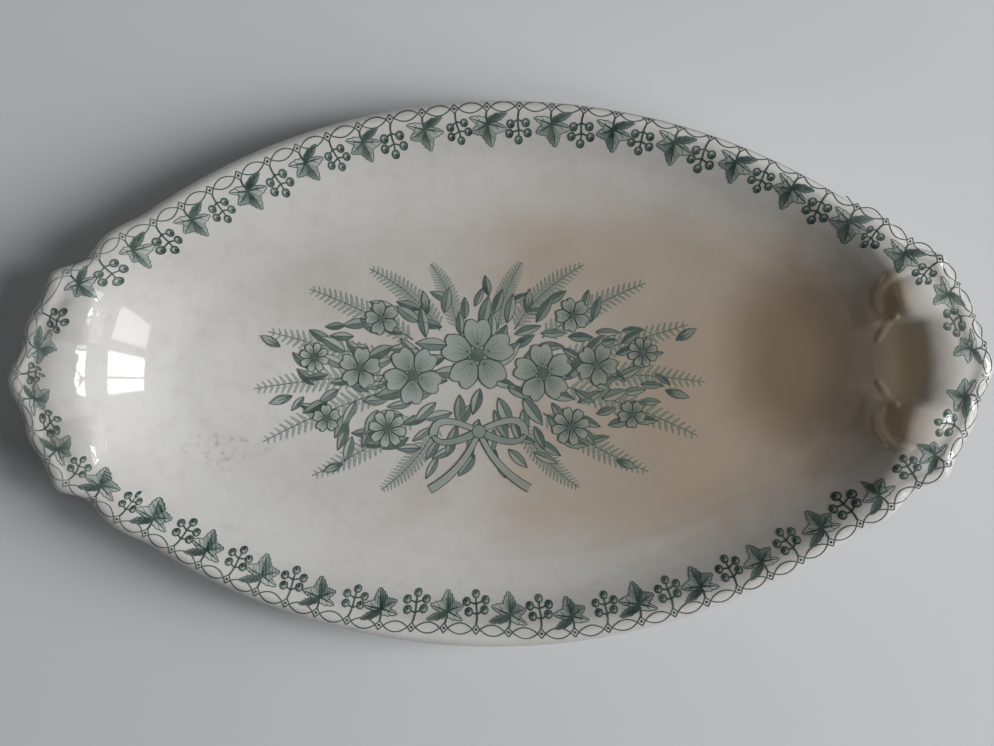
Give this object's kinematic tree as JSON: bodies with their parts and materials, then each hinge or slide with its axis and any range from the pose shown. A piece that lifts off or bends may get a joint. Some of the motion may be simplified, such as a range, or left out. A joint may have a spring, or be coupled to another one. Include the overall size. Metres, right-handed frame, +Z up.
{
  "type": "appetizer dish",
  "caption": "Oval glazed earthenware appetizer dish with a printed leaf border, scalloped lug handles with scroll relief and a low foot ring.",
  "frame": {"origin": "on the table, under the middle of the dish", "axes": "+X along the dish from its left handle to its right handle, +Y across it, +Z up"},
  "size_m": [0.2514, 0.139, 0.026],
  "materials": {
    "glaze": "gloss",
    "bare_clay": "matte"
  },
  "bodies": {
    "root": {"dish_body": "glaze", "foot_ring": "bare_clay", "left_handle": "glaze", "right_handle": "glaze", "left_scrolls": "glaze", "right_scrolls": "glaze"}
  },
  "joints": []
}
